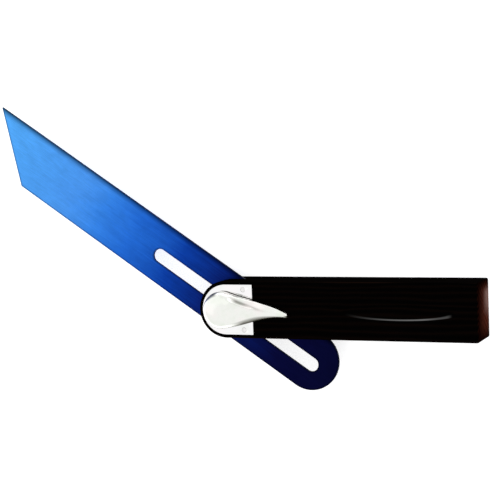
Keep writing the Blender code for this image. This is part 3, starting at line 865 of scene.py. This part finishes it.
def end_colour(finish, tone, y, z, sway):
    """Reddish end grain with a paler patch, darkened nearly to black towards the front face and the upper and
    lower edges.
    """
    grain = finish.ramp(tone, [(0.25, END_DARK), (0.5, END_MID), (0.8, END_LIGHT)])
    pale_patch = finish.step(y + (sway - 0.5) * PALE_SWAY, *PALE_FROM_LOWER)
    pale_patch = pale_patch * finish.step(y, *PALE_FROM_UPPER) * finish.step(z, *PALE_FROM_FRONT)
    grain = finish.mix(pale_patch * PALE_SHARE, grain, PALE_PATCH)
    # 1 where the end grain is not darkened towards its edges
    bare = finish.step(z, *DARKENED_FROM_FRONT)
    bare = bare * finish.step(y, *DARKENED_FROM_UPPER) * finish.step(y, *DARKENED_FROM_LOWER)
    return finish.gain(grain, DARKENED_LEAVES + bare * (0.85 + sway * 0.3))


def worn_edges(finish, y, z):
    """1 on the roundings of the bar's long edges."""
    off_middle = z - STOCK_HIGH.z / 2
    half = STOCK_HIGH.z / 2
    across = finish.step(y.math("ABSOLUTE", y), NOSE_RADIUS - WORN_FROM, NOSE_RADIUS - WORN_TO)
    return across * finish.step(off_middle.math("ABSOLUTE", off_middle), half - WORN_FROM, half - WORN_TO)


def rim_painted_sheen(finish, x, y, smudge):
    """How much gloss is put on the lower rim of the groove, an ellipse, most towards the butt: a painted
    highlight, which a lamp turns into a bright line.
    """
    long_share = (x - GROOVE_MIDDLE) / (GROOVE_LENGTH / 2)
    wide_share = y / (GROOVE_WIDTH / 2)
    out = (long_share * long_share + wide_share * wide_share) ** 0.5
    rim = finish.step(out, *SHEEN_INNER) * finish.step(out, *SHEEN_OUTER)
    rim = rim * finish.step(wide_share, *SHEEN_SIDE)
    rim = rim * finish.step(x, *SHEEN_FROM) * finish.step(x, *SHEEN_TO)
    return rim * (0.45 + 0.55 * finish.step(x, *SHEEN_MOST)) * (0.6 + smudge * 0.8)


def wood_finish():
    """Nearly black rosewood under a thin polish, and its end grain at the butt.

    Rings are bands of the distance from an axis beside the bar. Fibres and pores are noise drawn out on X.
    """
    finish = Finish("rosewood", Specular_IOR_Level=0.0, Coat_Roughness=0.16, Coat_IOR=2.4)
    x, y, z = finish.parts(finish.place())
    sway = finish.noise(finish.place(scale=SWAY_SCALE), detail=2.0)
    rings = wood_rings(finish, y, z, sway)
    fibres = finish.noise(finish.place(scale=FIBRE_SCALE), detail=4.0, roughness=0.65)
    pores = finish.step(finish.noise(finish.place(scale=PORE_SCALE), detail=1.0), *PORE_LEVELS)
    tone = rings * 0.45 + fibres * 0.55
    long_grain = finish.ramp(tone, [(0.25, WOOD_DARK), (0.55, WOOD_MID), (0.8, WOOD_LIGHT)])
    worn = worn_edges(finish, y, z) * finish.step(sway, 0.4, 0.65)
    long_grain = finish.mix(worn, long_grain, WOOD_WORN)
    at_end = finish.step(x, STOCK_HIGH.x - END_FROM, STOCK_HIGH.x - END_TO)
    colour = finish.mix(at_end, long_grain, end_colour(finish, tone, y, z, sway))
    finish.put(Base_Color=finish.mix(pores * 0.7, colour, WOOD_DARK))
    smudge = finish.noise(finish.place(scale=SMUDGE_SCALE), detail=2.0)
    finish.put(Roughness=0.4 + smudge * 0.16 + pores * 0.25 + at_end * 0.2)
    polish = (POLISH + smudge * POLISH) * (1 - at_end * 0.9)
    # painted highlight: extra gloss on the groove's lower rim
    finish.put(Coat_Weight=polish + rim_painted_sheen(finish, x, y, smudge) * SHEEN_GLOSS)
    finish.put(Normal=finish.bump(fibres * 0.3 - pores, *WOOD_GRAIN))
    return finish.material


# Nickel
CLOUD_SCALE = (130, 130, 130)
HAIR_SCALE = (120, 9000, 9000)
CROSS_SCALE = (160, 11000, 11000)
CROSS_TURN = 1.2  # from the hair lines to those that cross them
PLATE_TURN, LEVER_HAIR_TURN = 0.3, 1.1
CLOSE_HAIRS = (0.55, 0.75)  # the grain above which it looks dull
NICKEL_GRAIN = (0.004 * MM, 0.35)  # depth and strength of its bump
NICKEL_GREEN, NICKEL, NICKEL_PINK = (0.82, 0.85, 0.78), (0.88, 0.89, 0.85), (0.92, 0.87, 0.85)
PLATE_COLOURS = [(0.90, 0.91, 0.89), (0.94, 0.94, 0.94), (0.97, 0.94, 0.95)]
# dark olive of the lever's painted shade
PAINTED_SHADE_OLIVE = (0.04, 0.037, 0.017)


def nickel_parts(finish, scratch_turn, colours):
    """Fine criss-cross hair lines and cloudy patches, and the nickel's colour that follows the patches."""
    clouds = finish.noise(finish.place(scale=CLOUD_SCALE), detail=3.0)
    hairs = finish.noise(finish.place(turn=scratch_turn, scale=HAIR_SCALE), detail=2.0)
    cross = finish.noise(finish.place(turn=scratch_turn + CROSS_TURN, scale=CROSS_SCALE), detail=2.0)
    grain = hairs * 0.5 + cross * 0.5
    colour = finish.ramp(clouds, list(zip((0.34, 0.5, 0.66), colours)))
    return clouds, grain, colour


def plate_finish():
    """Polished nickel plate, a little duller where hair lines lie close."""
    finish = Finish("plate_nickel", Metallic=1.0)
    clouds, grain, colour = nickel_parts(finish, PLATE_TURN, PLATE_COLOURS)
    finish.put(Base_Color=colour)
    finish.put(Roughness=0.03 + clouds * 0.04 + finish.step(grain, *CLOSE_HAIRS) * 0.1)
    finish.put(Normal=finish.bump(grain, *NICKEL_GRAIN))
    return finish.material


def lever_finish():
    """The plate's nickel, with painted shade and a painted dark reflection in dark olive, a little rougher,
    where the mesh's mark says.
    """
    finish = Finish("lever_nickel", Metallic=1.0)
    clouds, grain, colour = nickel_parts(finish, LEVER_HAIR_TURN, [NICKEL_GREEN, NICKEL, NICKEL_PINK])
    # the mesh's painted shade mark: a darker olive there, and a little rougher
    painted_shade = finish.node("ShaderNodeAttribute", {"attribute_name": "tarnish"}, output="Fac")
    painted_shade = painted_shade * (0.88 + clouds * 0.24)
    finish.put(Base_Color=finish.mix(painted_shade, colour, PAINTED_SHADE_OLIVE))
    finish.put(Roughness=0.14 + clouds * 0.08 + finish.step(grain, *CLOSE_HAIRS) * 0.12 + painted_shade * 0.2)
    finish.put(Normal=finish.bump(grain, *NICKEL_GRAIN))
    return finish.material


# Blued steel
BRUSH_SCALE = (160, 11000)  # along the blade and across it
STREAK_SCALE = (18, 1400)
BLADE_CLOUD_SCALE = (35, 60)
MOTTLE_SCALE = (150, 230)
BRUSH_GRAIN = (0.005 * MM, 0.5)  # depth and strength of its bump
TEMPER_AND_LIGHT = [
    # share of the way from the heel to the tip, and the colour: the blueing's own tone with painted light,
    # paler towards the tip and darker towards the heel
    (0.0, (0.002, 0.0025, 0.024)),
    (0.15, (0.0025, 0.003, 0.036)),
    (0.34, (0.003, 0.014, 0.15)),
    (0.446, (0.004, 0.046, 0.35)),
    (0.564, (0.016, 0.135, 0.61)),
    (0.652, (0.035, 0.215, 0.73)),
    (0.743, (0.067, 0.29, 0.80)),
    (1.0, (0.084, 0.385, 0.88)),
]
OXIDE = (0.001, 0.001, 0.012)
EDGE_BAND, EDGE_DARKENING = 1.0 * MM, 0.6  # painted shade beside every edge
UPPER_BAND, UPPER_DARKENING = 3.0 * MM, 0.7  # and deeper painted shade beside the longer edge
BARE_STEEL = (0.16, 0.22, 0.42)
BARE_SHARE = 0.3


def edge_shade(finish, x, y):
    """1 well inside the blade and less beside its edges: painted shade, deeper beside the longer edge.

    The distance inwards from the outline is the least of three: for the strip with its round heel, the half
    width less the distance to a line; for the slanting tip, the distance along its normal; and for the slot,
    the distance to a line less its half width.
    """
    heel_end, tip_end = blade_extent(BLADE_WAY)
    low_side, high_side = blade_extent(BLADE_ACROSS)
    half = (high_side - low_side) / 2
    off_middle = y - (high_side + low_side) / 2
    past_heel = x.math("MINIMUM", x - (heel_end + half), 0.0)
    strip = half - (past_heel * past_heel + off_middle * off_middle) ** 0.5
    width = high_side - low_side
    tip = ((tip_end - x) * width - (y - low_side) * TIP_SKEW) / math.hypot(width, TIP_SKEW)
    past_slot = x - x.math("MAXIMUM", x.math("MINIMUM", x, SLOT_TIP), SLOT_HEEL)
    slot = (past_slot * past_slot + y * y) ** 0.5 - SLOT_HALF_WIDTH
    inwards = strip.math("MINIMUM", strip, tip.math("MINIMUM", tip, slot))
    every_edge = 1 - EDGE_DARKENING * finish.step(inwards, EDGE_BAND, 0.0)
    upper_edge = 1 - UPPER_DARKENING * finish.step(y - low_side, UPPER_BAND, 0.0)
    return every_edge * upper_edge


def blued_finish():
    """Blued spring steel, brushed lengthwise and paler towards the tip, partly its temper and partly painted
    light, with painted shade along its edges.

    Its sheared edges keep a dark oxide, and their roundings are rubbed to bare steel here and there.
    """
    finish = Finish("blued_steel", Metallic=1.0)
    turn = -math.atan2(BLADE_WAY.y, BLADE_WAY.x)

    def drawn(along, across):
        """Coordinates along the blade and across it, from the pivot, stretched for a noise."""
        return finish.place(origin=PIVOT, turn=turn, scale=(along, across, across))

    x, y, z = finish.parts(drawn(1, 1))
    brushed = finish.noise(drawn(*BRUSH_SCALE), detail=3.0, roughness=0.6)
    streaks = finish.noise(drawn(*STREAK_SCALE), detail=2.0)
    clouds = finish.noise(drawn(*BLADE_CLOUD_SCALE), detail=2.0)
    heel_end, tip_end = blade_extent(BLADE_WAY)
    share = (x - heel_end) / (tip_end - heel_end)
    # temper colours with painted light, paler towards the tip
    temper_and_light = finish.ramp(share + (clouds - 0.5) * 0.08 + (streaks - 0.5) * 0.05, TEMPER_AND_LIGHT)
    mottle = finish.noise(drawn(*MOTTLE_SCALE), detail=2.0, roughness=0.6)
    # painted shade beside the edges
    tone = (0.55 + brushed * 0.9) * (0.84 + mottle * 0.32) * edge_shade(finish, x, y)
    blueing_and_light = finish.gain(temper_and_light, tone)
    half = (BLADE_HIGH.z - BLADE_LOW.z) / 2
    height = z.math("ABSOLUTE", z)
    side = finish.step(height, half - BLADE_EDGE * 0.5, half - BLADE_EDGE)
    worn = finish.step(height, half - BLADE_EDGE * 0.5, half - BLADE_EDGE * 0.3)
    worn = worn * finish.step(height, half, half - BLADE_EDGE * 0.1) * finish.step(streaks, 0.4, 0.6)
    blueing_and_light = finish.mix(worn * BARE_SHARE, blueing_and_light, BARE_STEEL)
    finish.put(Base_Color=finish.mix(side, blueing_and_light, OXIDE))
    finish.put(Roughness=0.34 + brushed * 0.16 + side * 0.2)
    finish.put(Normal=finish.bump(brushed, *BRUSH_GRAIN))
    return finish.material


# Turned steel and brass, and the ground pins
STEEL_COLOURS, STEEL_ROUGHNESS = [(0.42, 0.42, 0.43), (0.62, 0.62, 0.63)], 0.22
BRASS_COLOURS, BRASS_ROUGHNESS = [(0.55, 0.38, 0.13), (0.78, 0.58, 0.25)], 0.3
PIN_COLOURS, PIN_ROUGHNESS = [(0.79, 0.78, 0.77), (0.89, 0.88, 0.87)], 0.22
TURNED_RINGS = 9000  # waves per metre, as the scales below
TURNED_PATCH_SCALE = (240, 240, 240)
TURNED_GRAIN = (0.006 * MM, 0.5)  # depth and strength of its bump
PIN_TURN = 0.5
PIN_LINE_SCALE = (300, 12000, 12000)
PIN_PATCH_SCALE = (900, 900, 900)
PIN_GRAIN = (0.005 * MM, 0.5)


def turned_finish(name, colours, roughness):
    """Metal turned on a lathe: rings by the distance from the pivot's axis, over faint tarnish."""
    finish = Finish(name, Metallic=1.0)
    x, y, z = finish.parts(finish.place(origin=PIVOT))
    radius = (x * x + y * y) ** 0.5
    across_rings = finish.node("ShaderNodeCombineXYZ", {}, [radius * TURNED_RINGS, z * TURNED_RINGS, 0.0])
    rings = finish.noise(across_rings, detail=2.0)
    patches = finish.noise(finish.place(scale=TURNED_PATCH_SCALE), detail=3.0)
    tone = rings * 0.4 + patches * 0.6
    finish.put(Base_Color=finish.ramp(tone, [(0.3, colours[0]), (0.7, colours[1])]))
    finish.put(Roughness=roughness + patches * 0.15)
    finish.put(Normal=finish.bump(rings, *TURNED_GRAIN))
    return finish.material


def pin_finish():
    """Pins ground flush: the plate's nickel, a little greyer, with straight grinding lines."""
    finish = Finish("pin_nickel", Metallic=1.0)
    lines = finish.noise(finish.place(turn=PIN_TURN, scale=PIN_LINE_SCALE), detail=2.0)
    patches = finish.noise(finish.place(scale=PIN_PATCH_SCALE), detail=2.0)
    finish.put(Base_Color=finish.ramp(patches, [(0.3, PIN_COLOURS[0]), (0.7, PIN_COLOURS[1])]))
    finish.put(Roughness=PIN_ROUGHNESS + lines * 0.15)
    finish.put(Normal=finish.bump(lines, *PIN_GRAIN))
    return finish.material


# The stage


def seen_or_lit(nodes, lit, seen):
    """A grey that lights the object, and another that the camera sees, also by way of gloss or glass."""
    path = nodes.node("ShaderNodeLightPath").socket.node.outputs
    camera = Wire(nodes, path["Is Camera Ray"])
    gloss = Wire(nodes, path["Is Glossy Ray"])
    glass = Wire(nodes, path["Is Transmission Ray"])
    share = camera.math("MAXIMUM", camera.math("MAXIMUM", camera, gloss), glass)
    return nodes.mix(share, (lit, lit, lit), (seen, seen, seen))


FLOOR_SIZE = 6.0
FLOOR_DROP = 0.1 * MM
FLOOR_COLOUR = (0.88, 0.88, 0.88)
FLOOR_ROUGHNESS = 0.9
FLOOR_GLOSS = 0.1
FLOOR_GLOW = 0.66
WORLD_LIGHT = 0.85
WHITE = 1.0


def make_floor():
    """A plain pale plane just under the tool, that also glows a little for the camera and for gloss."""
    side = FLOOR_SIZE / 2
    corners = [(x, y, -FLOOR_DROP) for x, y in ((-side, -side), (side, -side), (side, side), (-side, side))]
    mesh = bpy.data.meshes.new("floor")
    mesh.from_pydata(corners, [], [[0, 1, 2, 3]])
    floor = bpy.data.objects.new("floor", mesh)
    bpy.context.scene.collection.objects.link(floor)
    finish = Finish("pale_floor", Roughness=FLOOR_ROUGHNESS, Specular_IOR_Level=FLOOR_GLOSS)
    finish.put(Base_Color=(*FLOOR_COLOUR, 1), Emission_Strength=1.0)
    finish.put(Emission_Color=seen_or_lit(finish, 0.0, FLOOR_GLOW))
    mesh.materials.append(finish.material)


def make_world():
    """Even white light from all round, and plain white for the camera and for gloss."""
    world = bpy.data.worlds.new("studio")
    bpy.context.scene.world = world
    world.use_nodes = True
    nodes = Nodes(world.node_tree)
    background = nodes.tree.nodes["Background"].inputs
    nodes.feed(background["Strength"], 1.0)
    nodes.feed(background["Color"], seen_or_lit(nodes, WORLD_LIGHT, WHITE))


LAMPS = {
    # direction from what the camera looks at, distance, width and height, power in watts
    "key": ((-0.75, 0.45, 0.49), 1.5, (2.4, 2.4), 2.0),
    "fill": ((0.8, -0.45, 0.4), 1.5, (2.0, 2.0), 0.8),
}


def make_lamps():
    """Large soft lamps that face what the camera looks at."""
    for name, (direction, distance, size, power) in LAMPS.items():
        light = bpy.data.lights.new(name, "AREA")
        light.shape = "RECTANGLE"
        light.size, light.size_y = size
        light.energy = power
        lamp = bpy.data.objects.new(name, light)
        way = Vector(direction).normalized()
        lamp.location = AIM + way * distance
        lamp.rotation_euler = way.to_track_quat("Z", "Y").to_euler()
        bpy.context.scene.collection.objects.link(lamp)


def make_camera():
    """The camera stands where azimuth, elevation and distance put it, and rolls about its line to AIM."""
    azimuth, elevation = math.radians(CAMERA_AZIMUTH), math.radians(CAMERA_ELEVATION)
    roll = math.radians(CAMERA_ROLL)
    level = math.cos(elevation)
    back = Vector((math.sin(azimuth) * level, math.sin(elevation), math.cos(azimuth) * level))
    right = Vector((math.cos(azimuth), 0, -math.sin(azimuth)))
    up = back.cross(right)
    rolled_right = right * math.cos(roll) + up * math.sin(roll)
    rolled_up = up * math.cos(roll) - right * math.sin(roll)
    data = bpy.data.cameras.new("camera")
    data.lens = CAMERA_LENS
    camera = bpy.data.objects.new("camera", data)
    turn = Matrix((rolled_right, rolled_up, back)).transposed().to_4x4()
    camera.matrix_world = Matrix.Translation(AIM + back * CAMERA_DISTANCE) @ turn
    bpy.context.scene.collection.objects.link(camera)
    bpy.context.scene.camera = camera


# Putting it together


def add(piece, body, slot, material, *nodes):
    """Gives a piece its finish and its body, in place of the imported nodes."""
    piece.data.materials.clear()
    piece.data.materials.append(material)
    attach(piece, body)
    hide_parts(*nodes)


def main():
    make_camera()
    make_floor()
    make_world()
    make_lamps()
    bpy.context.scene.view_settings.view_transform = "Standard"

    plate_nickel = plate_finish()
    bright_steel = turned_finish("bright_steel", STEEL_COLOURS, STEEL_ROUGHNESS)
    brass = turned_finish("washer_brass", BRASS_COLOURS, BRASS_ROUGHNESS)
    ground = pin_finish()

    add(make_stock(), "stock", "stock_wood", wood_finish(), "stock")
    add(make_plate("front", FRONT_LOW, FRONT_HIGH), "stock", "plate_nickel", plate_nickel, "front_plate")
    add(make_plate("rear", REAR_LOW, REAR_HIGH), "stock", "plate_nickel", plate_nickel, "rear_plate")
    for name in PINS:
        add(make_pin(name, name.split("_")[0]), "stock", "pin_nickel", ground, name)
    add(make_screw(), "stock", "screw_steel", bright_steel, "pivot_screw")
    add(make_washer("lever_washer"), "stock", "screw_steel", bright_steel, "lever_washer")
    for name in ("kerf_washer_front", "kerf_washer_rear"):
        add(make_washer(name), "swivel", "washer_brass", brass, name)
    add(make_blade(), "blade", "blade_blued_steel", blued_finish(), "blade")
    add(make_lever(), "lever", "lever_nickel", lever_finish(), "lever")
    add(make_nut(), "lever", "screw_steel", bright_steel, "lever_nut")


main()
